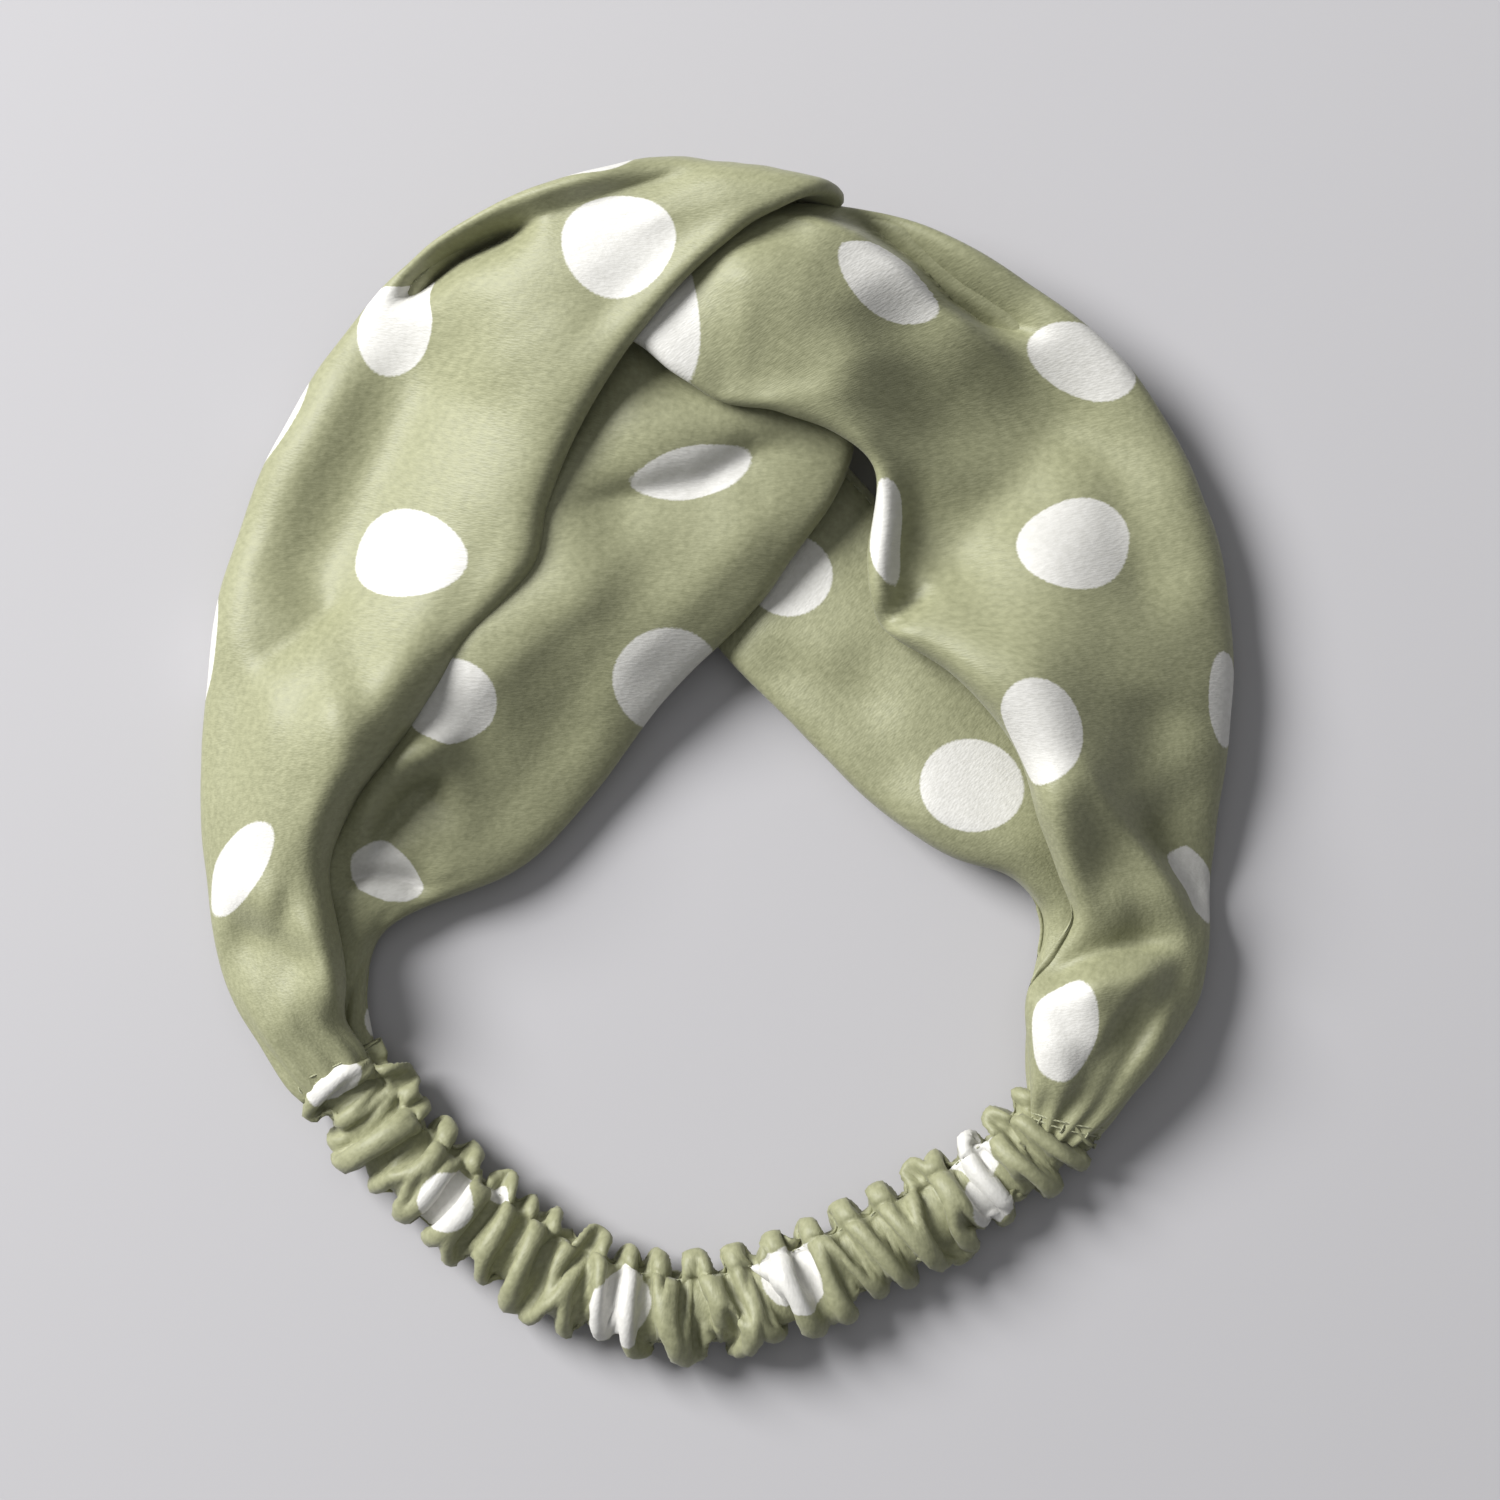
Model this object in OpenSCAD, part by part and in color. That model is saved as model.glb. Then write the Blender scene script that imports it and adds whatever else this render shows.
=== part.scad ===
// Knotted headband: two cloth wraps linked at a knot, closed at the nape by an
// elastic in a ruffled casing. It lies flat with +Z up. The origin is under the
// middle of its outline, on the surface that it rests on.

/* [Headband] */
// Length round the middle of the band with the elastic relaxed
loop_len = 510; // [480:5:540]
// Width of a wrap at its widest, laid flat
wrap_w = 58; // [48:1:60]
// Thickness of the soft folded cloth of a wrap where it is widest
wrap_t = 13; // [10:0.5:13]

/* [Casing] */
// Width of the ruffled casing
casing_w = 17; // [15:0.5:19]
// Height of the ruffled casing
casing_h = 14; // [13:0.5:15]
// Number of ruffles along the casing
ruffle_count = 16; // [10:1:20]
// How far a ruffle stands out, as a share of the casing's half width
ruffle_depth = 0.1; // [0:0.01:0.14]

/* [Elastic] */
// Width of the elastic band
elastic_w = 10; // [6:0.5:11]
// Thickness of the elastic band
elastic_t = 1; // [0.6:0.1:1.4]

/* [Sewing] */
// Diameter of the sewing thread, drawn heavier than real so that it shows
thread_d = 0.5; // [0.3:0.05:0.6]
// Share of a seam's length that its stitches cover
stitch_share = 0.7; // [0.5:0.05:0.8]

/* [Hidden] */

cloth_colour = "#a9ac84";
thread_colour = "#c9cba6";
elastic_colour = "#f1f0ea";

standard_loop = 510;
standard_wrap_w = 58;
standard_wrap_t = 13;
plan_k = loop_len / standard_loop;
width_k = wrap_w / standard_wrap_w;
thick_k = wrap_t / standard_wrap_t;

wrap_sides = 16;
wrap_steps = 3;
casing_sides = 12;
rings_per_ruffle = 6;
channel_rings = 34;
// Edge of the cube that cuts a wrap off flat below.
big = 400;
// Room between the elastic and the walls of its channel.
side_room = 1.6;
face_room = 1.5;
// The casing's size at its two ends, as a share of its full size, and how far in from
// an end it is full.
end_share = 0.88;
taper_len = 9;
// Room between a thread and the cloth that it lies on.
thread_room = 0.15;
// Angles round a wrap and round the casing at which their seams lie.
seam_turn = -33.75;
topstitch_turn = 50;

// One row for each station of a wrap's route, from the end of its upper leg, through
// the fold, to the end of its lower leg: x, y and z of the middle, half the width,
// half the thickness, and the heading and the rise of the width in degrees. The width
// points to the outside of the loop on the upper leg.
left_route = [
    [-70.5, -57, 10.9, 5.6, 2.3, 220, 0],
    [-76, -49.5, 12, 7, 3, 210, -5],
    [-81, -40, 13.5, 10.5, 4.6, 195, -12],
    [-82.5, -26, 15, 12.5, 5.8, 183, -20],
    [-80.5, -10, 16, 15.5, 6.5, 178, -25],
    [-75.5, 8, 17, 20.5, 6.5, 170, -26],
    [-67.5, 27, 18.5, 26, 6.3, 160, -24],
    [-58, 45, 21, 28, 6, 150, -20],
    [-46, 62, 26, 25.5, 5.2, 141, -14],
    [-32, 78, 31, 20.5, 4.4, 134, -6],
    [-18, 88, 32.6, 16, 4.2, 130, -3],
    [-6, 92.5, 32.4, 12.5, 3.9, 130, 0],
    [2, 96, 31.4, 10.5, 3.5, 130, 0],
    [8, 100.5, 28.6, 9.5, 3.4, 130, 0],
    [10.3, 102.3, 22.4, 9.5, 3.3, 130, 0],
    [7.7, 99.8, 16, 9.5, 3.4, 130, 0],
    [1.5, 93.5, 13.2, 10.5, 3.5, 134, 0],
    [-1, 81, 13, 13, 3.7, 148, 0],
    [1, 64, 13, 18, 3.8, 146, 0],
    [-9, 46, 12.8, 20.5, 3.9, 140, 0],
    [-24, 27.5, 11, 21, 4.4, 139, 3],
    [-38, 10, 6.4, 20, 5.6, 138, 3],
    [-50, -6, 4.6, 17, 5.4, 140, 2],
    [-60, -19, 4.2, 12, 4.9, 152, 0],
    [-69, -31, 4.8, 8, 3.7, 172, 0],
    [-72.5, -43, 5.1, 7, 2.8, 192, 0],
    [-73, -51, 5.2, 6.3, 2.4, 208, 0],
    [-70.5, -57, 5.4, 5.6, 2.3, 220, 0],
];
right_route = [
    [64, -65, 10.9, 5.6, 2.3, -48, 0],
    [69.5, -58.5, 12, 7.6, 3, -42, -5],
    [73, -47, 13.8, 13.5, 4.8, -20, -12],
    [75.5, -33, 15.2, 14.5, 5.8, -5, -18],
    [77, -17, 16.2, 16, 6.5, 2, -24],
    [75.5, 0, 17, 20.5, 6.5, 6, -25],
    [71.3, 17, 18.5, 26.5, 6.4, 14, -22],
    [63.5, 34, 20.5, 30, 6.2, 25, -18],
    [50.5, 51, 23.5, 29, 5.4, 38, -12],
    [36.5, 66, 24.5, 22, 4.4, 52, -5],
    [22, 74.5, 22.8, 13.5, 3.8, 68, 0],
    [6, 79, 22.3, 10.5, 3.5, 80, 0],
    [-8, 80, 22.3, 10, 3.4, 88, 0],
    [-18, 80, 22, 9.5, 3.3, 90, 0],
    [-25, 79.5, 19.3, 9.5, 3.2, 90, 0],
    [-27.5, 79, 13.2, 9.5, 3.2, 88, 0],
    [-25, 78, 7, 9.5, 3.2, 84, 0],
    [-17, 76, 4.3, 10, 3.3, 72, 0],
    [-6, 66.5, 4.2, 12, 3.5, 54, 0],
    [3, 52, 4.2, 14.5, 3.8, 47, 0],
    [14.5, 36, 4.4, 17, 4.3, 46, 0],
    [29, 19, 4.3, 18.5, 5, 46, 0],
    [43, 3, 4.5, 17.5, 5.4, 50, 0],
    [55.5, -10.5, 4.3, 13, 5, 40, 0],
    [66, -24, 4.8, 9.5, 4, 14, 0],
    [67, -38, 5.2, 8.5, 3.2, -6, 0],
    [67.5, -50, 5.1, 7.8, 2.7, -25, 0],
    [68, -59, 5.2, 6.5, 2.4, -42, 0],
    [64, -65, 5.4, 5.6, 2.3, -48, 0],
];

// Middle of the casing and its elastic, from the left wrap's end to the right's.
casing_z = casing_h / 2;
casing_route = [
    [-69.7, -58], [-66, -62.6], [-57, -73], [-44, -84.5], [-29, -94], [-13, -100],
    [2, -99.5], [16, -95], [30, -88.5], [44, -80.5], [55, -72.7], [63.2, -66],
];
// Where the wraps' necks meet the casing: the middle, and the heading out of the casing.
left_neck = [-70.2, -57.4, 8.2];
left_neck_heading = 128;
right_neck = [63.7, -65.4, 8.2];
right_neck_heading = 45;
neck_loop_r = 7.8;
neck_loops = 2;
neck_loop_pitch = 1;
neck_loop_back = 2.1;
join_count = 8;
join_r = 8.3;
join_len = 3.6;
tack_w = 7;
tack_bars = 5;
tack_pitch = 0.9;
tack_back = 2;

// A point on the smooth curve through four rows, at t between the middle two.
function blend_rows(a, b, c, d, t) =
    b + 0.5 * t * (c - a + t * (2 * a - 5 * b + 4 * c - d + t * (3 * (b - c) + d - a)));

// A list of rows with steps - 1 rows put in between each two.
function smooth_rows(rows, steps) =
    let (last = len(rows) - 1)
    [for (i = [0 : last * steps])
        let (k = min(floor(i / steps), last - 1), t = i / steps - k)
        blend_rows(rows[max(k - 1, 0)], rows[k], rows[k + 1], rows[min(k + 2, last)], t)];

function unit(v) = v / norm(v);
function middle(row) = [row[0] * plan_k, row[1] * plan_k, row[2]];

// Direction of travel at row i of a route.
function travel(rows, i) =
    unit(middle(rows[min(i + 1, len(rows) - 1)]) - middle(rows[max(i - 1, 0)]));

// Direction of the width at row i, square to the travel.
function width_dir(rows, i) =
    let (row = rows[i], t = travel(rows, i))
    let (w = [cos(row[5]) * cos(row[6]), sin(row[5]) * cos(row[6]), sin(row[6])])
    unit(w - (w * t) * t);

// A point on the wrap's skin at row i and angle a, pushed out by extra.
function wrap_point(rows, i, a, extra = 0) =
    let (w = width_dir(rows, i), n = cross(travel(rows, i), w), row = rows[i])
    let (half_w = row[3] * width_k, half_t = row[4] * thick_k)
    middle(row) + (half_w + extra) * cos(a) * w + (half_t + extra) * sin(a) * n;

function wrap_rings(rows) =
    [for (i = [0 : len(rows) - 1])
        [for (k = [0 : wrap_sides - 1]) wrap_point(rows, i, 360 * k / wrap_sides)]];

function flatten(lists) = [for (l = lists) each l];

// Faces between the rings of a tube whose first point has the given index.
function tube_faces(rings, sides, first = 0) =
    [for (i = [0 : rings - 2], k = [0 : sides - 1])
        let (a = first + i * sides + k, b = first + i * sides + (k + 1) % sides)
        [a, a + sides, b + sides, b]];

// A closed solid through a list of rings.
module lofted(rings) {
    sides = len(rings[0]);
    count = len(rings);
    start_cap = [for (k = [0 : sides - 1]) k];
    end_cap = [for (k = [sides - 1 : -1 : 0]) (count - 1) * sides + k];
    polyhedron(flatten(rings), concat([start_cap, end_cap], tube_faces(count, sides)), 4);
}

module cut_flat() {
    difference() {
        children();
        translate([-big / 2, -big / 2, -big]) cube(big);
    }
}

module left_wrap() color(cloth_colour) cut_flat() lofted(wrap_rings(left_rows));

module right_wrap() color(cloth_colour) cut_flat() lofted(wrap_rings(right_rows));

function turned_over(ring) = [for (k = [len(ring) - 1 : -1 : 0]) ring[k]];

function smooth_step(t) = let (c = min(max(t, 0), 1)) c * c * (3 - 2 * c);

// The casing's middle as count points along its route, and its travel at point i.
function casing_line(count) =
    let (last = len(casing_route) - 1)
    [for (i = [0 : count - 1])
        let (at = last * i / (count - 1), k = min(floor(at), last - 1))
        let (a = casing_route[max(k - 1, 0)], b = casing_route[k])
        let (c = casing_route[k + 1], d = casing_route[min(k + 2, last)])
        let (p = blend_rows(a, b, c, d, at - k)) [p[0] * plan_k, p[1] * plan_k, casing_z]];

function line_travel(line, i) =
    unit(line[min(i + 1, len(line) - 1)] - line[max(i - 1, 0)]);

// Distance along a line to point i, and from there to its end.
function run_to(line, i) = i == 0 ? 0 : run_to(line, i - 1) + norm(line[i] - line[i - 1]);

// A point of the ring at point i of a line, at angle a from the loop's inside towards up.
function ring_point(line, i, half_w, half_h, a) =
    let (t = line_travel(line, i), inside = [-t[1], t[0], 0])
    let (p = line[i] + half_w * cos(a) * inside + half_h * sin(a) * [0, 0, 1])
    [p[0], p[1], max(p[2], 0)];

casing_rings = ruffle_count * rings_per_ruffle + 1;
skin_line = casing_line(casing_rings);
skin_len = run_to(skin_line, casing_rings - 1);
channel_line = casing_line(channel_rings);

// Size of the casing at ring i and angle a: its taper at the ends and its ruffles.
function casing_k(i, a) =
    let (run = run_to(skin_line, i), from_end = min(run, skin_len - run))
    let (full = smooth_step(from_end / taper_len))
    end_share + (1 - end_share) * full
        + ruffle_depth * full * sin(360 * ruffle_count * run / skin_len + a);

function casing_skin(i, a, extra = 0) =
    let (k = casing_k(i, a))
    ring_point(skin_line, i, k * casing_w / 2 + extra, k * casing_h / 2 + extra, a);

// The sleeve of cloth, open through its length for the elastic.
module elastic_casing() {
    n = casing_sides;
    skin = [for (i = [0 : casing_rings - 1], k = [0 : n - 1]) casing_skin(i, 360 * k / n)];
    channel_w = elastic_w / 2 + side_room;
    channel_h = elastic_t / 2 + face_room;
    channel = [for (i = [0 : channel_rings - 1], k = [0 : n - 1])
        ring_point(channel_line, i, channel_w, channel_h, 360 * k / n)];
    inner = len(skin);
    skin_end = (casing_rings - 1) * n;
    channel_end = inner + (channel_rings - 1) * n;
    channel_faces = [for (f = tube_faces(channel_rings, n, inner)) turned_over(f)];
    start_face = [for (k = [0 : n - 1])
        [k, (k + 1) % n, inner + (k + 1) % n, inner + k]];
    end_face = [for (k = [0 : n - 1])
        [skin_end + (k + 1) % n, skin_end + k, channel_end + k, channel_end + (k + 1) % n]];
    faces = concat(tube_faces(casing_rings, n), channel_faces, start_face, end_face);
    color(cloth_colour) polyhedron(concat(skin, channel), faces, 4);
}

// The elastic lies flat in its channel and stops short of both ends.
module elastic_band() {
    line = [for (i = [1 : channel_rings - 2]) channel_line[i]];
    corners = [[1, -1], [1, 1], [-1, 1], [-1, -1]];
    color(elastic_colour) lofted([for (i = [0 : len(line) - 1])
        let (t = line_travel(line, i), inside = [-t[1], t[0], 0])
        [for (c = corners)
            line[i] + c[0] * elastic_w / 2 * inside + [0, 0, c[1] * elastic_t / 2]]]);
}

// A straight length of thread from p to q.
module thread_between(p, q) {
    d = q - p;
    translate(p)
        rotate([0, acos(d[2] / norm(d)), atan2(d[1], d[0])])
            cylinder(h = norm(d), d = thread_d, $fn = 16);
}

// The lengthwise seam that closes a wrap's tube, on the side that folds inwards.
module wrap_seam(rows, side) {
    lift = thread_d / 2 + thread_room;
    cut = (1 - stitch_share) / 2;
    color(thread_colour) for (i = [1 : len(rows) - 3]) {
        a = wrap_point(rows, i, side * seam_turn, lift);
        b = wrap_point(rows, i + 1, side * seam_turn, lift);
        thread_between(a + cut * (b - a), b - cut * (b - a));
    }
}

module left_wrap_seam() wrap_seam(left_rows, 1);

module right_wrap_seam() wrap_seam(right_rows, -1);

// The line of stitches that closes the casing and leaves a small ruffle at its inner edge.
module casing_topstitch() {
    lift = thread_d / 2 + thread_room;
    color(thread_colour) for (i = [2 : 2 : casing_rings - 4])
        thread_between(
            casing_skin(i, topstitch_turn, lift),
            casing_skin(i + 1, topstitch_turn, lift));
}

// Puts its children at a neck, with +Z out of the casing along the neck.
module at_neck(neck, heading) {
    translate([neck[0] * plan_k, neck[1] * plan_k, neck[2]])
        rotate([0, 0, heading]) rotate([0, 90, 0]) children();
}

// Turns of thread that draw both legs of a wrap together.
module gather_thread(neck, heading) {
    color(thread_colour) at_neck(neck, heading)
        for (i = [0 : neck_loops - 1])
            translate([0, 0, neck_loop_back + i * neck_loop_pitch])
                rotate_extrude($fn = 48)
                    translate([neck_loop_r, 0]) circle(d = thread_d, $fn = 16);
}

module left_gather_thread() gather_thread(left_neck, left_neck_heading);

module right_gather_thread() gather_thread(right_neck, right_neck_heading);

// Short stitches round the joint of a neck and the casing, set back by back.
module join_stitches(neck, heading, back) {
    color(thread_colour) at_neck(neck, heading)
        for (i = [0 : join_count - 1])
            rotate([0, 0, 360 * (i + 0.5) / join_count])
                translate([join_r, 0, back - join_len / 2])
                    cylinder(h = join_len, d = thread_d, $fn = 16);
}

module left_join_stitches() join_stitches(left_neck, left_neck_heading, 0);

module right_join_stitches() join_stitches(right_neck, right_neck_heading, 0);

// A zigzag of thread across the elastic, the given distance along from an end.
module elastic_tack(line, i, way) {
    t = way * line_travel(line, i);
    side = [-t[1], t[0], 0] * tack_w / 2;
    lift = [0, 0, elastic_t / 2 + thread_d / 2 + thread_room];
    from = line[i] + lift + t * tack_back;
    color(thread_colour) for (k = [0 : tack_bars - 1])
        thread_between(
            from + t * k * tack_pitch + side * 0.96,
            from + t * (k + 0.5) * tack_pitch - side);
}

module left_elastic_tack() elastic_tack(channel_line, 1, 1);

module right_elastic_tack() elastic_tack(channel_line, channel_rings - 2, -1);

left_rows = smooth_rows(left_route, wrap_steps);
right_rows = smooth_rows(right_route, wrap_steps);

left_wrap();
right_wrap();
elastic_casing();
elastic_band();
left_wrap_seam();
right_wrap_seam();
casing_topstitch();
left_gather_thread();
right_gather_thread();
left_join_stitches();
right_join_stitches();
left_elastic_tack();
right_elastic_tack();
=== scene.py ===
import math

import bpy
import numpy as np
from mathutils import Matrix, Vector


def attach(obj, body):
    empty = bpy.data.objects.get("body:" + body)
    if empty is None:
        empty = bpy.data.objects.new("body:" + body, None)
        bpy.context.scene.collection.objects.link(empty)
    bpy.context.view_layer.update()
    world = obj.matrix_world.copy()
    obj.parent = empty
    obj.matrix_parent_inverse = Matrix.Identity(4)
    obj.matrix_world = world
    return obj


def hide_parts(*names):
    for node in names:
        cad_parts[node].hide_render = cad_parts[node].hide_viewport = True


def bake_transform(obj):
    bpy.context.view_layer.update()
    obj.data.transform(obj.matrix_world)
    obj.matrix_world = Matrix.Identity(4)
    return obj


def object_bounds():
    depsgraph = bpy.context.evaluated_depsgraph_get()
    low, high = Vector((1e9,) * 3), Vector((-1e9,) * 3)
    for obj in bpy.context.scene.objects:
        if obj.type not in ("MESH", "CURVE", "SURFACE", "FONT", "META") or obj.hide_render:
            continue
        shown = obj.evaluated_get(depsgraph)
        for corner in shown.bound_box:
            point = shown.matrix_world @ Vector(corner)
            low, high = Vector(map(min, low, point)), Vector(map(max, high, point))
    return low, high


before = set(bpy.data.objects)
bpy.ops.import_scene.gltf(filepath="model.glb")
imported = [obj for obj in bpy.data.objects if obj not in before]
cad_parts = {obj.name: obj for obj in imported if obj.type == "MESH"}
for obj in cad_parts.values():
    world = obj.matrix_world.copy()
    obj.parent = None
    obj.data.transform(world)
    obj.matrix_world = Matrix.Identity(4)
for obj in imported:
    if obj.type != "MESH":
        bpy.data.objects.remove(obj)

cad_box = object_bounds()
MM = 0.001
UP = np.array([0.0, 0.0, 1.0])

# ---------- the two wraps
# One row for each station of a wrap, in mm, from the end of its upper leg, through the
# fold at the knot, to the end of its lower leg: a point of its outer edge, the point of
# its inner edge across from it, and how far the cloth stands out of the line between
# them, on the outer side of the U and on its inner side.
LEFT_UPPER = [
    ((-76.0, -61.5, 8.5), (-65.5, -55.5, 8.5), 3.0, 2.5),
    ((-79.5, -58.5, 8.5), (-66.0, -52.0, 9.5), 3.5, 2.8),
    ((-84.5, -50.0, 7.0), (-69.5, -46.0, 12.0), 4.5, 3.0),
    ((-88.5, -43.5, 6.0), (-69.0, -39.5, 14.0), 5.5, 3.5),
    ((-91.8, -35.0, 5.0), (-69.8, -32.5, 15.0), 6.0, 4.0),
    ((-93.5, -21.0, 4.5), (-72.0, -19.0, 16.0), 6.5, 4.0),
    ((-94.5, -7.0, 4.5), (-68.0, -8.0, 17.5), 7.0, 4.0),
    ((-94.0, 10.0, 4.5), (-57.0, 7.0, 19.0), 8.0, 4.0),
    ((-92.5, 27.0, 5.0), (-46.5, 22.5, 21.0), 8.0, 4.0),
    ((-88.7, 42.0, 6.0), (-33.8, 36.2, 22.5), 8.0, 4.0),
    ((-82.5, 58.0, 8.0), (-31.0, 48.0, 23.5), 7.5, 4.0),
    ((-72.0, 75.0, 11.0), (-24.0, 64.0, 26.0), 6.5, 3.5),
    ((-58.0, 90.5, 16.0), (-14.0, 78.0, 28.0), 5.5, 3.0),
    ((-42.0, 100.0, 21.5), (-4.0, 89.5, 30.5), 4.5, 2.5),
    ((-27.0, 105.5, 25.5), (7.0, 98.5, 31.2), 4.0, 2.0),
]
LEFT_FOLD = [
    ((-15.0, 108.0, 27.0), (18.0, 103.5, 31.5), 2.5, 1.5),
    ((-10.0, 109.3, 20.0), (22.5, 103.0, 22.0), 2.0, 1.5),
    ((-13.0, 106.0, 14.5), (20.0, 100.0, 15.5), 2.0, 1.5),
]
LEFT_LOWER = [
    ((-20.0, 95.0, 13.0), (20.5, 88.0, 14.5), 2.0, 2.5),
    ((-25.0, 80.0, 16.0), (23.5, 72.0, 14.5), 2.5, 3.0),
    ((-24.5, 68.0, 18.5), (24.3, 57.5, 15.0), 3.0, 4.0),
    ((-31.0, 55.0, 18.5), (16.5, 43.0, 14.0), 3.5, 5.0),
    ((-43.0, 38.5, 17.0), (5.0, 28.0, 11.0), 4.5, 5.0),
    ((-54.0, 22.0, 15.5), (-10.5, 12.7, 7.0), 5.0, 5.0),
    ((-63.0, 6.0, 14.5), (-22.0, -2.5, 5.0), 5.0, 5.0),
    ((-70.0, -8.0, 12.0), (-36.0, -17.5, 4.5), 4.5, 5.0),
    ((-76.0, -20.0, 9.0), (-54.0, -24.7, 4.5), 4.0, 4.5),
    ((-79.0, -32.0, 5.0), (-63.3, -30.5, 6.0), 3.5, 4.5),
    ((-80.0, -42.0, 5.0), (-66.0, -41.0, 6.0), 3.0, 4.0),
    ((-79.0, -51.0, 5.5), (-65.0, -49.0, 6.5), 2.5, 3.0),
    ((-75.5, -61.0, 6.0), (-64.0, -55.0, 6.5), 2.0, 2.0),
]
RIGHT_UPPER = [
    ((66.8, -69.8, 8.5), (58.2, -66.2, 8.5), 3.0, 2.5),
    ((71.3, -66.0, 8.5), (57.6, -62.8, 9.5), 4.0, 2.8),
    ((77.5, -58.0, 7.0), (57.0, -57.5, 12.0), 6.0, 3.0),
    ((83.5, -50.0, 6.0), (56.3, -48.0, 14.0), 7.5, 3.5),
    ((88.0, -42.5, 5.0), (57.2, -40.5, 15.0), 7.0, 4.0),
    ((89.4, -35.0, 4.5), (61.5, -34.0, 16.0), 7.0, 4.0),
    ((90.0, -28.0, 4.5), (65.2, -27.0, 16.5), 6.5, 4.0),
    ((90.7, -19.5, 4.5), (62.2, -19.0, 17.0), 6.5, 4.0),
    ((92.0, -8.5, 4.5), (58.2, -9.5, 18.0), 7.0, 4.0),
    ((93.8, 5.0, 4.5), (53.5, 4.5, 19.0), 8.0, 4.0),
    ((94.6, 20.0, 4.5), (41.5, 18.0, 20.0), 8.5, 4.0),
    ((93.0, 36.5, 5.0), (29.5, 25.5, 21.0), 8.5, 4.0),
    ((89.6, 49.5, 6.0), (26.9, 38.0, 22.0), 8.5, 4.0),
    ((83.5, 62.5, 8.0), (28.5, 53.5, 23.0), 8.0, 3.5),
    ((74.0, 75.5, 11.0), (21.5, 60.5, 24.0), 7.0, 3.0),
    ((60.5, 86.5, 14.0), (11.0, 64.3, 25.0), 6.0, 2.5),
    ((45.5, 95.5, 17.0), (0.5, 66.0, 25.0), 5.0, 2.0),
    ((31.0, 101.0, 19.5), (-8.0, 71.0, 25.0), 4.0, 2.0),
    ((16.0, 102.0, 21.0), (-16.0, 77.0, 24.5), 3.0, 2.0),
    ((0.0, 100.0, 21.5), (-24.0, 75.0, 24.0), 2.5, 2.0),
]
RIGHT_FOLD = [
    ((-17.0, 96.0, 21.0), (-31.0, 70.0, 22.5), 2.2, 1.5),
    ((-28.0, 92.5, 18.5), (-36.0, 67.0, 19.5), 2.0, 1.5),
    ((-31.5, 90.0, 13.0), (-38.0, 65.0, 13.0), 2.0, 1.5),
    ((-27.5, 88.0, 7.0), (-35.0, 61.5, 7.0), 2.0, 1.5),
]
RIGHT_LOWER = [
    ((-12.0, 84.0, 5.0), (-26.0, 51.0, 5.0), 2.0, 2.5),
    ((6.0, 73.0, 5.0), (-14.0, 39.0, 5.5), 2.5, 3.0),
    ((22.0, 58.0, 5.5), (-1.5, 24.0, 6.0), 3.0, 4.0),
    ((35.0, 44.0, 6.0), (6.0, 15.5, 7.0), 3.5, 5.0),
    ((46.0, 32.0, 6.5), (17.5, 4.2, 8.0), 4.0, 6.0),
    ((56.0, 19.0, 6.5), (29.5, -7.3, 8.0), 4.0, 6.5),
    ((64.0, 6.0, 6.0), (42.0, -15.8, 8.0), 4.0, 6.5),
    ((71.0, -8.0, 5.5), (54.0, -20.2, 8.0), 4.0, 6.0),
    ((75.0, -22.0, 5.0), (59.8, -28.0, 7.5), 3.5, 5.0),
    ((76.0, -36.0, 5.0), (58.0, -40.0, 7.0), 3.0, 4.0),
    ((74.0, -48.0, 5.0), (56.8, -51.0, 6.0), 3.0, 3.5),
    ((71.5, -60.0, 5.5), (57.0, -59.0, 6.0), 2.5, 3.0),
    ((66.4, -69.2, 6.0), (58.2, -65.8, 6.5), 2.0, 2.0),
]
ROW_STEP = 1.3  # mm between rings
HALF_COLUMNS = 52  # points across each face of a flattened tube
FULLNESS = 0.54  # how steeply a face rises from its edges, 1 for a plain arch
STATION_STEPS = 24  # points of the smooth curve from one station to the next
ARC_POINTS = 181  # points of a face before they are spaced evenly


def catmull(rows, per_step):
    """Rows of numbers on the smooth curve through the given rows."""
    rows = np.asarray(rows, float)
    padded = np.vstack([rows[:1], rows, rows[-1:]])
    out = []
    for k in range(len(rows) - 1):
        a, b, c, d = padded[k : k + 4]
        square = 2 * a - 5 * b + 4 * c - d
        cube = 3 * (b - c) + d - a
        for t in np.arange(per_step) / per_step:
            out.append(b + 0.5 * t * (c - a + t * (square + t * cube)))
    return np.array(out + [rows[-1]])


def run_along(points):
    """Distance along a line of points, at each point."""
    steps = np.linalg.norm(np.diff(points, axis=0), axis=1)
    return np.concatenate([[0.0], np.cumsum(steps)])


def spaced(rows, line, count):
    """The rows again, at even distances along a line that has one point for each row."""
    run = run_along(line)
    even = np.linspace(0.0, run[-1], count)
    return np.stack([np.interp(even, run, column) for column in rows.T], axis=1)


def units(vectors):
    """Vectors of the same directions, each of length 1."""
    return vectors / np.maximum(np.linalg.norm(vectors, axis=-1, keepdims=True), 1e-9)


def smooth(t):
    """From 0 to 1 as t goes from 0 to 1, level at both ends."""
    t = np.clip(t, 0.0, 1.0)
    return t * t * (3.0 - 2.0 * t)


def grid_normals(points):
    """The outward normal at each point of a grid that closes round its columns."""
    along = np.gradient(points, axis=0)
    around = np.roll(points, -1, axis=1) - np.roll(points, 1, axis=1)
    normals = units(np.cross(around, along))
    outward = points - points.mean(axis=1, keepdims=True)
    return normals * np.where((normals * outward).sum() < 0, -1.0, 1.0)


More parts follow.
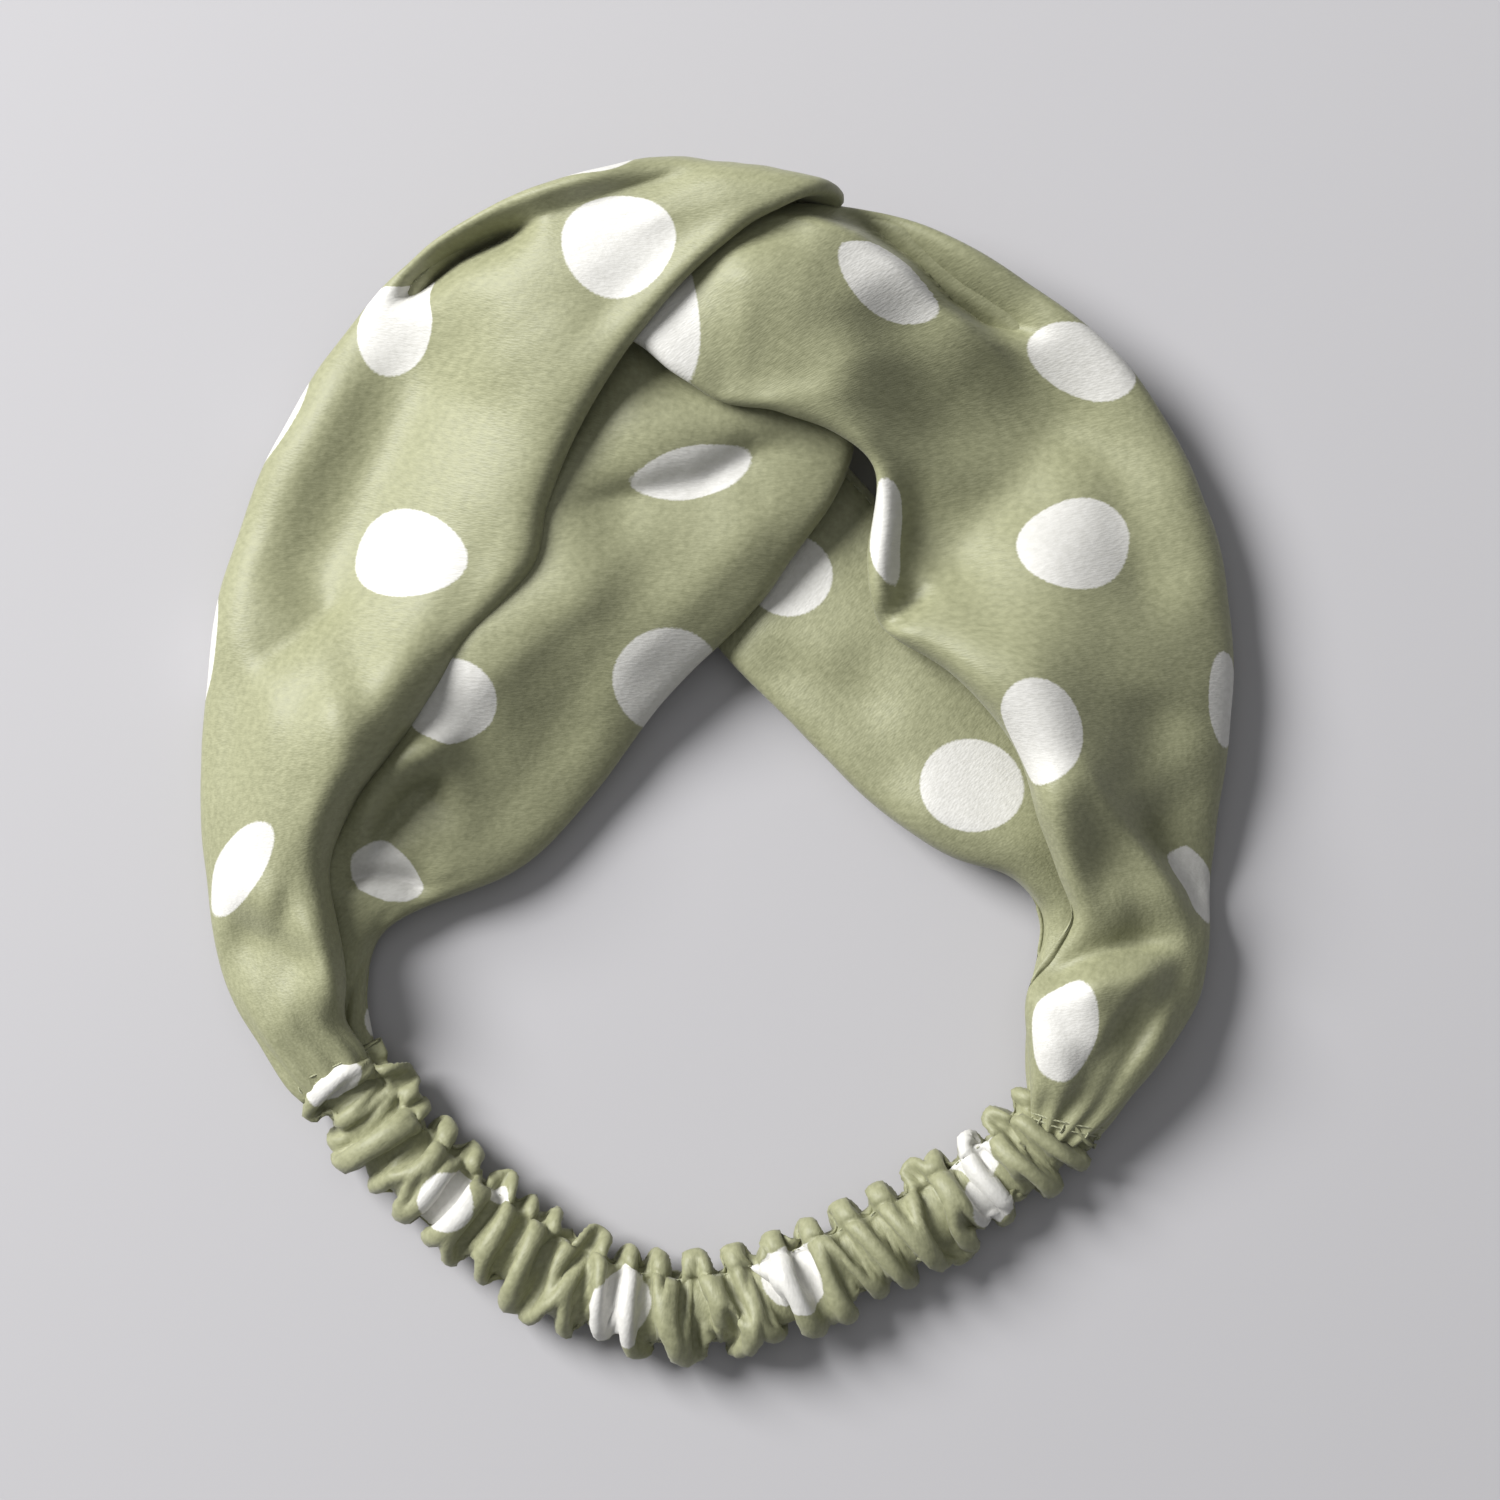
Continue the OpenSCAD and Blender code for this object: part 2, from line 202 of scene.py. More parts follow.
class Wrap:
    """A cloth tube folded in a U, as a grid of points: rings along it, columns round it."""

    def __init__(self, upper, fold, lower, turn):
        stations = [(*o, *i, crown, belly) for o, i, crown, belly in upper + fold + lower]
        dense = catmull(stations, STATION_STEPS)
        middle = (dense[:, 0:3] + dense[:, 3:6]) / 2
        count = int(run_along(middle)[-1] / ROW_STEP)
        marks = np.linspace(0, len(stations) - 1, len(dense))
        rows = spaced(np.column_stack([dense, marks]), middle, count)
        outer, inner = rows[:, 0:3], rows[:, 3:6]
        crown, belly, self.mark = rows[:, 6:9].T
        middle = (outer + inner) / 2
        width = units(outer - inner)
        travel = np.gradient(middle, axis=0)
        normal = units(np.cross(travel, width)) * turn
        half = np.linalg.norm(outer - inner, axis=1) / 2
        self.fold_mark = len(upper) + (len(fold) - 1) / 2
        self.points = np.array([
            self.ring(*section) for section in zip(middle, width, normal, half, crown, belly)
        ])

    @staticmethod
    def ring(middle, width, normal, half, crown, belly):
        """One closed ring: across the outer face from the outer edge, back across the inner."""
        a = np.linspace(0.0, math.pi, ARC_POINTS)
        faces = []
        for height, across in ((crown, a), (-belly, a[::-1])):
            flat = np.column_stack([half * np.cos(across), height * np.abs(np.sin(across)) ** FULLNESS])
            faces.append(spaced(flat, flat, HALF_COLUMNS + 1)[:-1])
        flat = np.vstack(faces)
        return middle + flat[:, :1] * width + flat[:, 1:] * normal

    def leg(self, upper):
        """True for the grid's points that are on the seen face of one leg."""
        rows = self.mark < self.fold_mark if upper else self.mark > self.fold_mark
        columns = np.arange(2 * HALF_COLUMNS)
        outer_face = (columns <= HALF_COLUMNS + 1) | (columns >= 2 * HALF_COLUMNS - 1)
        face = outer_face if upper else (columns >= HALF_COLUMNS - 1) | (columns <= 1)
        return rows[:, None] & face[None, :]


left = Wrap(LEFT_UPPER, LEFT_FOLD, LEFT_LOWER, 1.0)
right = Wrap(RIGHT_UPPER, RIGHT_FOLD, RIGHT_LOWER, -1.0)


# ---------- folds of the cloth
FADE = 0.3  # the share of a fold's length over which it fades out at each end


def stroke_heights(points, path, near, far, crisp):
    """How strongly a fold along a path in plan acts at each point, from 0 to 1."""
    path = np.asarray(path, float)
    best = np.full(points.shape[:-1], 1e9)
    signed = np.zeros(best.shape)
    along = np.zeros(best.shape)
    run = run_along(path)
    for k, (a, b) in enumerate(zip(path[:-1], path[1:])):
        d = b - a
        t = np.clip(((points[..., :2] - a) @ d) / (d @ d), 0.0, 1.0)
        off = points[..., :2] - a - t[..., None] * d
        distance = np.hypot(off[..., 0], off[..., 1])
        closer = distance < best
        side = np.sign(d[0] * off[..., 1] - d[1] * off[..., 0])
        best = np.where(closer, distance, best)
        signed = np.where(closer, side, signed)
        along = np.where(closer, run[k] + t * math.dist(a, b), along)
    width = np.where(signed > 0, near, far)
    end = FADE * run[-1]
    taper = smooth(along / end) * smooth((run[-1] - along) / end)
    return taper * np.exp(math.sqrt(crisp) - np.sqrt(crisp + (best / width) ** 2))


# Each fold: the wrap, whether it is on the upper leg, its path in plan, how far it stands
# up or sinks, its width to the left and to the right of the path, all in mm, and how
# crisp it is, from 0.03 for a crease to 0.9 for a soft swell.
FOLDS = [
    # Left wrap, upper leg: the rolled rim over its pocket, and the panel below them.
    (left, True, [(-62, 88), (-51, 95.5), (-38, 101.5), (-22, 106), (-10, 108)], 4.2, 2.6, 2.2, 0.3),
    (left, True, [(-60, 84), (-54, 89.5), (-48, 93.5), (-41, 96.5), (-31, 99.5)], -15.0, 1.6, 2.2, 0.05),
    (left, True, [(-40, 97), (-25, 101.5), (-8, 106.5), (2, 107)], -2.2, 1.5, 4, 0.1),
    # The broad valley down the outside, its sharp lower end and the swell below it.
    (left, True, [(-46, 91), (-57, 71), (-64.5, 54), (-73, 37), (-81.5, 19)], -10.0, 10, 11, 0.6),
    (left, True, [(-66, 34), (-77, 23), (-87, 17.5)], -4.0, 2.5, 5, 0.2),
    (left, True, [(-89, 9), (-76, 8), (-62, 12)], 4.0, 8, 10, 0.8),
    (left, True, [(-72, 16), (-66, 9), (-62, 2), (-62, -6)], 2.2, 6, 6, 0.8),
    (left, True, [(-56, 86), (-69, 69), (-79, 52), (-86.5, 34), (-90, 12)], 4.0, 6, 6, 0.6),
    # The lit ridge along the inner edge, down to the neck.
    (left, True, [(-46, 30), (-57, 18), (-67, 4), (-73, -8), (-77, -22)], 2.6, 3.5, 5, 0.5),
    (left, True, [(-40, 46), (-44, 34), (-56, 14)], -1.6, 4, 3, 0.4),
    (left, True, [(-77, -24), (-73, -32), (-69.8, -40), (-70.5, -47)], 2.2, 2, 3, 0.3),
    (left, True, [(-92, -27), (-87, -30), (-80, -32), (-72, -39)], -3.2, 2.4, 8, 0.25),
    (left, True, [(-92, -22), (-86, -23), (-78, -25)], 2.0, 4, 3, 0.5),
    (left, True, [(-90, -36), (-82, -42), (-77, -52)], 0.8, 5, 5, 0.8),
    # Folds that run into the knot.
    (left, True, [(-27, 61), (-15, 78), (-3, 92), (10, 101)], 1.6, 3, 2, 0.4),
    (left, True, [(-28, 74), (-14, 88), (4, 101)], -1.8, 5, 3, 0.5),
    (left, True, [(-46, 66), (-36, 80), (-18, 97)], 1.5, 9, 9, 0.9),
    # Left wrap, lower leg: the swell by the knot with its crease, and the slope below.
    (left, False, [(-26, 60), (-10, 63), (8, 64), (20, 64)], 3.0, 8, 6, 0.8),
    (left, False, [(-30, 47), (-15.5, 50.5), (-3.5, 53), (6, 58), (18, 60)], -4.0, 2.2, 7, 0.12),
    (left, False, [(16, 56), (0, 36), (-16, 20), (-30, -2)], 1.6, 4, 6, 0.6),
    (left, False, [(-14, 40), (-26, 31), (-38, 21), (-52, 6)], 3.6, 6, 8, 0.5),
    (left, False, [(-12, 18), (-28, 6), (-42, -8), (-52, -16)], -2.2, 6, 8, 0.7),
    (left, False, [(-44, 8), (-56, 2), (-62, -4), (-66, -11), (-67.5, -17)], 5.5, 3, 2.2, 0.3),
    (left, False, [(-48, -1), (-57, -4), (-62.5, -11), (-64.5, -18)], -6.5, 5, 1.8, 0.12),
    (left, False, [(-72, -21.5), (-64, -19.5), (-58, -20.5), (-52, -24)], -4.5, 3, 1.2, 0.08),
    (left, False, [(-60, -24), (-65, -33), (-68.5, -42), (-70.5, -55)], -2.0, 1.2, 1.6, 0.1),
    (left, False, [(-62, -30), (-66, -44), (-69, -55)], -1.2, 1.2, 1.2, 0.1),
    # Right wrap, upper leg: the long ridge from the knot, with the back layer behind it.
    (right, True, [
        (2, 99), (9, 99.6), (16, 99), (25, 96), (34, 90), (42, 83), (50, 77), (58, 68),
    ], 5.5, 1.2, 9, 0.03),
    (right, True, [
        (16, 102), (27, 98.8), (36, 92.6), (42.5, 86), (49, 82), (57, 80.3), (63, 79.5),
    ], -8.0, 4.5, 1.3, 0.05),
    (right, True, [(30, 99), (44, 94), (58, 84)], 1.5, 3, 3, 0.5),
    (right, True, [(-8, 89), (4, 90), (12, 88), (19, 82), (24, 72), (30, 59)], 5.5, 8, 11, 0.6),
    (right, True, [(30, 90), (34, 78), (40, 64), (42, 50)], -4.0, 9, 8, 0.7),
    (right, True, [(-4, 68), (8, 70), (17, 70), (22, 68)], -1.5, 4, 3, 0.5),
    (right, True, [(-20, 66), (-10, 76), (2, 87), (13, 97)], 2.8, 7, 10, 0.8),
    # The rolled inner edge down to the tuck, and the diagonal valley that starts there.
    (right, True, [(16, 64), (26, 58), (29, 52), (30.4, 44), (29.5, 35), (30, 26)], 4.5, 3.2, 2.6, 0.25),
    (right, True, [(35, 58), (35.5, 46), (33.5, 36), (31, 27)], -3.5, 3.5, 2.5, 0.25),
    (right, True, [(74, 78), (62, 64), (48, 47), (37, 34), (29.5, 25)], -11.0, 9, 16, 0.3),
    (right, True, [(39, 34), (33, 28.5), (28.5, 25), (25, 22)], -5.0, 1.6, 2.6, 0.08),
    (right, True, [(66, 70), (73, 53), (77.5, 38), (79, 22)], -3.2, 6, 5, 0.6),
    (right, True, [(82, 62), (88, 44), (92, 24)], 1.5, 4, 5, 0.6),
    (right, True, [(34, 20), (46, 22), (60, 32), (66, 46)], 3.0, 9, 9, 0.8),
    (right, True, [(50, 30), (59, 12), (64, -4), (70, -18)], 5.0, 8, 8, 0.5),
    (right, True, [(80, 16), (78, 0), (76, -8)], -2.5, 5, 5, 0.7),
    # The flap's edge over the back layer at the lower right.
    (right, True, [(64, 4), (70, -6), (77, -14), (84, -23), (89, -31)], 2.6, 1.5, 6, 0.08),
    (right, True, [(74, -4), (80, -12.5), (86.5, -21), (93, -30)], -6.0, 6, 1.4, 0.05),
    (right, True, [(56, 2), (60, -8), (63, -18), (67, -28)], 3.2, 4.5, 3.5, 0.4),
    (right, True, [(64, 0), (69, -14), (71, -26)], -3.0, 4.5, 4, 0.5),
    # The crease from the inner tuck to the outer edge, and the swell below it.
    (right, True, [(55, -42), (60, -38.5), (66, -35.2), (74, -33), (87, -31)], -7.0, 5.5, 1.8, 0.1),
    (right, True, [(61, -43), (71, -38.6), (85, -36.4)], 4.2, 3, 6, 0.5),
    (right, True, [(71, -46), (79, -51)], -2.8, 5, 5, 0.7),
    (right, True, [(62, -46), (61, -54), (63, -62)], 1.6, 4, 5, 0.7),
    # Right wrap, lower leg.
    (right, False, [(4, 22), (10, 19), (24, 13), (36, 11)], -1.6, 4, 4, 0.5),
    (right, False, [(0, 30), (14, 26), (28, 18)], 1.5, 5, 5, 0.7),
    (right, False, [(30, -2), (40, -8), (54, -14), (62, -22)], 2.2, 4, 5, 0.6),
    (right, False, [(58, -22), (62, -30), (58, -38)], -2.2, 2, 2, 0.2),
]
CREASE = 0.2  # folds crisper than this are made after the cloth has been softened
SOFTEST = 2.0  # above the softest fold's crispness
SOFTENINGS = 3  # rounds of softening between the soft folds and the creases
NECK_PLEATS = 9
NECK_PLEAT_DEPTH = 0.5  # mm
NECK_PLEAT_REACH = 13.0  # mm from a neck
PLEAT_DRIFT = 2.5  # radians, how far the pleats wander
CREEP = 0.35  # mm, how far the cloth's small unevenness moves it
FINE_SHARE = 0.5  # the finer unevenness, as a share of the broader
LEAST_GAP = 1.6  # mm between a tube's two faces
LOWEST = 0.4  # mm, the lowest the cloth may lie
# Knots along and round the cloth, and the first wrap's seed, for each random unevenness.
DRIFT_KNOTS, DRIFT_SEED = (9, 5), 20
BROAD_KNOTS, BROAD_SEED = (30, 10), 30
FINE_KNOTS, FINE_SEED = (70, 22), 40


def uneven(shape, knots, seed):
    """Smooth random unevenness over a grid that closes round its columns, from -1 to 1."""
    rng = np.random.default_rng(seed)
    coarse = rng.uniform(-1.0, 1.0, (knots[0], knots[1]))
    coarse = np.hstack([coarse, coarse[:, :1]])
    r = np.linspace(0, knots[0] - 1, shape[0])
    c = np.linspace(0, knots[1], shape[1] + 1)[:-1]
    r0, c0 = np.minimum(r.astype(int), knots[0] - 2), c.astype(int)
    fr, fc = smooth(r - r0)[:, None], smooth(c - c0)[None, :]
    a, b = coarse[np.ix_(r0, c0)], coarse[np.ix_(r0, c0 + 1)]
    d, e = coarse[np.ix_(r0 + 1, c0)], coarse[np.ix_(r0 + 1, c0 + 1)]
    return (a * (1 - fc) + b * fc) * (1 - fr) + (d * (1 - fc) + e * fc) * fr


def relax(points, rounds):
    """Soften a grid a little, keeping its two end rings."""
    for _ in range(rounds):
        around = (np.roll(points, 1, axis=1) + np.roll(points, -1, axis=1)) / 2
        mean = around.copy()
        mean[1:-1] = (around[1:-1] + (points[2:] + points[:-2]) / 2) / 2
        points[1:-1] += 0.5 * (mean[1:-1] - points[1:-1])


def keep_open(wrap):
    """Move a tube's two faces apart in height wherever a fold has brought them together."""
    first = np.arange(1, HALF_COLUMNS)
    second = 2 * HALF_COLUMNS - first
    gap = LEAST_GAP * np.sin(math.pi * first / HALF_COLUMNS)
    for upper in (True, False):
        rows = np.flatnonzero(wrap.mark < wrap.fold_mark if upper else wrap.mark > wrap.fold_mark)
        seen, hidden = (first, second) if upper else (second, first)
        top = wrap.points[rows[:, None], seen[None, :], 2]
        under = wrap.points[rows[:, None], hidden[None, :], 2]
        under = np.maximum(np.minimum(under, top - gap), LOWEST)
        wrap.points[rows[:, None], hidden[None, :], 2] = under
        wrap.points[rows[:, None], seen[None, :], 2] = np.maximum(top, under + gap)


def fold(first, last):
    """Make the folds whose crispness is at least first and below last."""
    for wrap, upper, path, height, near, far, crisp in FOLDS:
        if first <= crisp < last:
            amount = stroke_heights(wrap.points, path, near, far, crisp) * wrap.leg(upper)
            wrap.points[..., 2] += height * amount


def pleat(wrap, number):
    """Give a wrap its pleats at both necks and its cloth's small unevenness."""
    points = wrap.points
    shape = points.shape[:2]
    run = run_along(points.mean(axis=1))
    from_neck = np.minimum(run, run[-1] - run)
    depth = NECK_PLEAT_DEPTH * np.exp(-((from_neck / NECK_PLEAT_REACH) ** 2))
    turn = 2 * math.pi * np.arange(shape[1]) / shape[1]
    drift = uneven(shape, DRIFT_KNOTS, DRIFT_SEED + number)
    pleats = depth[:, None] * np.sin(NECK_PLEATS * turn[None, :] + PLEAT_DRIFT * drift)
    broad = uneven(shape, BROAD_KNOTS, BROAD_SEED + number)
    small = broad + FINE_SHARE * uneven(shape, FINE_KNOTS, FINE_SEED + number)
    wrap.points = points + (pleats + CREEP * small)[..., None] * grid_normals(points)


def fold_cloth():
    """Fold both wraps, the soft folds first and the creases after the softening."""
    fold(CREASE, SOFTEST)
    for number, wrap in enumerate((left, right)):
        pleat(wrap, number)
        relax(wrap.points, SOFTENINGS)
    fold(0.0, CREASE)
    for wrap in (left, right):
        keep_open(wrap)
        relax(wrap.points, 1)
        wrap.points[..., 2] = np.maximum(wrap.points[..., 2], LOWEST)


fold_cloth()


# ---------- the casing
# Middle of the casing in plan, from the left wrap's neck to the right's, in mm.
CASING_ROUTE = [
    (-71.0, -56.3), (-66, -62.6), (-57, -73), (-44, -84.5), (-29, -94), (-13, -100),
    (2, -99.5), (16, -95), (30, -88.5), (44, -80.5), (55, -72.7), (64.8, -64.6),
]
ROUTE_STEPS = 40  # points of the smooth curve from one point of the route to the next
LINE_POINTS = 400
CASING_Z = 7.0
CASING_HALF_W = 7.6
CASING_HALF_H = 4.8
HEADER = 2.4  # mm, the small ruffle past the stitch line, along the inner edge
HEADER_TURN = 0.45  # how far round the header reaches, in radians
HEADER_FLAT = 0.6  # how much lower the header is than the section's arch
CUT_ROOM = 1.10  # girth that the solver asks for, over the girth of the first shape
GATHER = 2.15  # length that the solver asks for, over the casing's; it stops well short
CASING_ROWS = 320
CASING_COLUMNS = 72
STITCH_COLUMN = 8  # the stitch line's column, on the top and on the underside
STITCH_OUT, STITCH_UP = 6.6, 2.3  # mm, where the stitches hold the cloth
# The shallow ruffles that the solver starts from.
RUFFLES = 16
RUFFLE_HEIGHT = 2.8  # mm
RUFFLE_LEAN = 1.3  # mm along the sleeve
RUFFLE_GROWTH = 5.0  # mm from each end, over which they reach their height
SECOND_WAVE = 0.25  # a finer wave on each ruffle, as a share of it
PITCH_DRIFT = 4.0  # radians, how unevenly the ruffles are spaced
LAG = 2.6  # radians, how far they lag on the inner edge
TOP_DRIFT = 3.4  # radians, how far one ruffle wanders
SMALL_HEIGHT = 0.3  # mm, of the unevenness between them
PITCH_KNOTS, TOP_KNOTS, SMALL_KNOTS = (14, 1), (17, 6), (40, 8)
PITCH_SEED, TOP_SEED, SMALL_SEED = 51, 52, 53
# The solver's rounds, and what it does in each.
ROUNDS = 420
STRETCH_HOLD, SLANT_HOLD = 0.8, 0.3  # how firmly the cloth keeps its lengths
PUSHES = ((4, 2.7, 0.4), (8, 3.9, 0.25))  # rows apart, least distance in rows, firmness
OVERSHOOT = 1.3
SOFTEN = 0.075
LEAST, MOST = 0.66, 2.1  # how far in and out a ruffle may go, as shares of the section
SECTION_HOLD = 0.3
STITCH_HOLD = 0.10
STITCH_REACH = 2  # columns on each side of the stitch line that are drawn shorter
STITCH_SHORT, STITCH_EASE = 0.80, 0.07  # length kept at the stitch line, more by each column


def casing_line():
    """Points along the casing's middle, and the distance to each."""
    line = catmull([(x, y, CASING_Z) for x, y in CASING_ROUTE], ROUTE_STEPS)
    line = spaced(line, line, LINE_POINTS)
    return line, run_along(line)


def first_ruffles(length):
    """A straight sleeve with shallow, uneven ruffles, as (along, inwards, up) in mm, and
    the lengths that the solver asks for round it."""
    a = 2 * math.pi * np.arange(CASING_COLUMNS) / CASING_COLUMNS
    away = np.minimum(a, 2 * math.pi - a)
    header = np.exp(-((away / HEADER_TURN) ** 2))
    inwards = CASING_HALF_W * np.cos(a) + HEADER * header
    up = CASING_HALF_H * np.sin(a) * (1 - HEADER_FLAT * header)
    shape = (CASING_ROWS, CASING_COLUMNS)
    s = np.linspace(0.0, 1.0, CASING_ROWS)[:, None]
    grow = smooth(np.minimum(s, 1 - s) * length / RUFFLE_GROWTH)
    phase = (
        2 * math.pi * RUFFLES * s
        + PITCH_DRIFT * uneven((CASING_ROWS, 1), PITCH_KNOTS, PITCH_SEED)
        + LAG * np.cos(a)[None, :]
        + TOP_DRIFT * uneven(shape, TOP_KNOTS, TOP_SEED)
    )
    out = RUFFLE_HEIGHT * grow * (np.cos(phase) + SECOND_WAVE * np.cos(2 * phase + 1.0))
    out = out + SMALL_HEIGHT * grow * uneven(shape, SMALL_KNOTS, SMALL_SEED)
    points = np.stack([
        s * length + RUFFLE_LEAN * grow * np.sin(phase),
        inwards + out * np.cos(a),
        up + out * np.sin(a),
    ], axis=2)
    section = np.column_stack([inwards, up])
    return points, np.linalg.norm(np.roll(section, -1, axis=0) - section, axis=1) * CUT_ROOM


def pull(points, moves, weights, reach, rest, share, only_push=False):
    """Add to moves what brings points that are reach rows and columns apart to rest apart."""
    rows, columns = reach
    near = points[: len(points) - rows] if rows else points
    far = np.roll(points, -columns, axis=1)[rows:]
    gap = far - near
    length = np.maximum(np.linalg.norm(gap, axis=2), 1e-6)
    error = np.minimum(length - rest, 0) if only_push else length - rest
    move = (share * 0.5 * error / length)[..., None] * gap
    weight = share * (length < rest) if only_push else np.full(length.shape, share)
    moves[: len(move)] += move
    moves[rows:] -= np.roll(move, columns, axis=1)
    weights[: len(move)] += weight
    weights[rows:] += np.roll(weight, columns, axis=1)


def hold_section(points):
    """Keep the sleeve's section in its limits, above the floor and near its stitch line."""
    out = np.hypot(points[..., 1] / (CASING_HALF_W + 1.0), points[..., 2] / CASING_HALF_H)
    held = np.clip(out, LEAST, MOST) / np.maximum(out, 1e-6)
    points[..., 1:] *= (1 + SECTION_HOLD * (held - 1))[..., None]
    points[..., 2] = np.maximum(points[..., 2], LOWEST - CASING_Z)
    for column, side in ((STITCH_COLUMN, 1), (CASING_COLUMNS - STITCH_COLUMN, -1)):
        target = np.array([STITCH_OUT, side * STITCH_UP])
        points[1:-1, column, 1:] += STITCH_HOLD * (target - points[1:-1, column, 1:])


def gathered(length):
    """The sleeve after its too long cloth has been pushed into ruffles round the elastic."""
    points, round_rest = first_ruffles(length)
    ends = points[[0, -1]].copy()
    along_rest = np.full((CASING_ROWS - 1, CASING_COLUMNS), length * GATHER / (CASING_ROWS - 1))
    free_rest = along_rest[0, 0]
    for column in (STITCH_COLUMN, CASING_COLUMNS - STITCH_COLUMN):
        for off in range(-STITCH_REACH, STITCH_REACH + 1):
            along_rest[:, column + off] *= STITCH_SHORT + STITCH_EASE * abs(off)
    slant_rest = np.hypot(along_rest, round_rest[None, :])
    for _ in range(ROUNDS):
        moves = np.zeros_like(points)
        weights = np.full(points.shape[:2], 1e-9)
        pull(points, moves, weights, (1, 0), along_rest, STRETCH_HOLD)
        pull(points, moves, weights, (0, 1), round_rest[None, :], STRETCH_HOLD)
        pull(points, moves, weights, (1, 1), slant_rest, SLANT_HOLD)
        pull(points, moves, weights, (1, -1), slant_rest, SLANT_HOLD)
        for rows, least, firm in PUSHES:
            pull(points, moves, weights, (rows, 0), least * free_rest, firm, only_push=True)
        points += OVERSHOOT * moves / weights[..., None]
        points[1:-1] += SOFTEN * ((points[2:] + points[:-2]) / 2 - points[1:-1])
        points += SOFTEN * ((np.roll(points, 1, axis=1) + np.roll(points, -1, axis=1)) / 2 - points)
        hold_section(points)
        points[[0, -1]] = ends
    return points


def along_casing(points):
    """Points given as (along, inwards, up) in mm, put round the casing's middle line."""
    line, run = casing_line()
    travel = units(np.gradient(line, axis=0))
    inside = np.stack([-travel[:, 1], travel[:, 0], np.zeros(len(line))], axis=1)
    at = points[..., 0]
    middle = np.stack([np.interp(at, run, line[:, k]) for k in range(3)], axis=-1)
    over = at - np.clip(at, 0.0, run[-1])
    inwards = units(np.stack([np.interp(at, run, inside[:, k]) for k in range(3)], axis=-1))
    forward = np.stack([inwards[..., 1], -inwards[..., 0], np.zeros(at.shape)], axis=-1)
    return middle + over[..., None] * forward + points[..., 1:2] * inwards + points[..., 2:] * UP


casing_length = casing_line()[1][-1]
casing = along_casing(gathered(casing_length))


# ---------- printed dots
# Each dot: the wrap, whether it is on the upper leg, the middle in mm in plan, half its
# length and half its width as seen from above, and the heading of its length in degrees.
DOTS = [
    (left, True, (-17.8, 94.7), 10.3, 9.5, 0),
    (left, True, (-58.8, 82.4), 10.3, 7.2, 72),
    (left, True, (-56.3, 38.1), 10.4, 8.2, 0),
    (left, True, (-88.1, -18.2), 10.0, 4.2, 60),
    (left, False, (-5.2, 53.5), 10.4, 4.0, 12),
    (left, False, (-9.4, 16.2), 10.0, 8.8, 40),
    (left, False, (-49.0, 12.5), 8.4, 7.8, 0),
    (left, False, (-61.7, -19.6), 7.4, 5.6, -25),
    (right, True, (-12.4, 84.3), 9.2, 8.3, 60),
    (right, True, (30.8, 87.6), 10.4, 6.8, -40),
    (right, True, (66.9, 74.8), 10.6, 6.5, -20),
    (right, True, (65.8, 40.9), 10.5, 8.2, 5),
    (right, True, (30.5, 42.5), 9.6, 3.7, 88),
    (right, True, (58.1, 7.6), 9.6, 8.0, 100),
    (right, True, (87.4, -21.6), 9.2, 4.0, -60),
    (right, True, (62.7, -47.5), 9.8, 6.4, 78),
    (right, False, (12.5, 36.0), 7.9, 7.6, 0),
    (right, False, (46.4, -3.6), 9.6, 8.5, -10),
]
# Dots that go round an edge, and dots on the casing: the middle, then half the length
# along the piece and half the width round it, both on the cloth.
EDGE_DOTS = [
    (left, True, (-93.8, 21.3), 10.4, 4.2),
    (left, True, (-80.2, 63.5), 8.5, 3.0),
    (left, True, (-21.5, 107.2), 7.0, 2.6),
    (left, False, (-65.2, -47.5), 2.6, 1.6),
    (right, True, (93.5, 12.5), 8.9, 4.6),
]
CASING_DOTS = [
    ((-71.0, -57.5), 5.0, 6.0),
    ((-50.0, -80.2), 9.0, 6.5),
    ((-40.7, -79.0), 3.0, 2.0),
    ((-18.0, -98.4), 9.0, 8.0),
    ((14.0, -93.2), 10.0, 7.0),
    ((46.8, -70.9), 6.0, 6.0),
    ((49.7, -79.7), 6.0, 5.0),
]
FAR = 50.0  # mm, the distance given to cloth that has no dot near it
ELSEWHERE = 1e6  # mm, added off a dot's own part of the grid


def dot_field(p, dots):
    """Distance in mm from each point of a grid to the edge of the nearest dot, on the
    cloth, and below 0 inside a dot. Each dot starts with the part of the grid it is on."""
    field = np.full(p.shape[:2], FAR)
    around = np.linalg.norm(np.roll(p, -1, axis=1) - p, axis=2)
    column_run = np.concatenate([np.zeros((len(p), 1)), np.cumsum(around, axis=1)], axis=1)
    girth = column_run[:, -1:]
    steps = np.linalg.norm(np.diff(p, axis=0), axis=2)
    row_run = np.vstack([np.zeros((1, p.shape[1])), np.cumsum(steps, axis=0)])
    for part, (x, y), half_long, half_wide, heading in dots:
        off = np.hypot(p[..., 0] - x, p[..., 1] - y) + np.where(part, 0.0, ELSEWHERE)
        i, j = np.unravel_index(np.argmin(off), off.shape)
        t = column_run[:, :-1] - column_run[:, j : j + 1]
        t = t - girth * np.round(t / girth)
        s = row_run - row_run[i]
        e_s = units(p[min(i + 1, len(p) - 1), j] - p[max(i - 1, 0), j])
        e_t = units(p[i, (j + 1) % p.shape[1]] - p[i, j - 1])
        long, wide = s, t
        if heading is not None:
            angle = math.radians(heading)
            head = np.array([math.cos(angle), math.sin(angle), 0.0])
            across = np.array([-head[1], head[0], 0.0])
            long = s * (e_s @ head) + t * (e_t @ head)
            wide = s * (e_s @ across) + t * (e_t @ across)
        reach = np.sqrt((long / half_long) ** 2 + (wide / half_wide) ** 2)
        field = np.minimum(field, (reach - 1.0) * math.sqrt(half_long * half_wide))
    return field


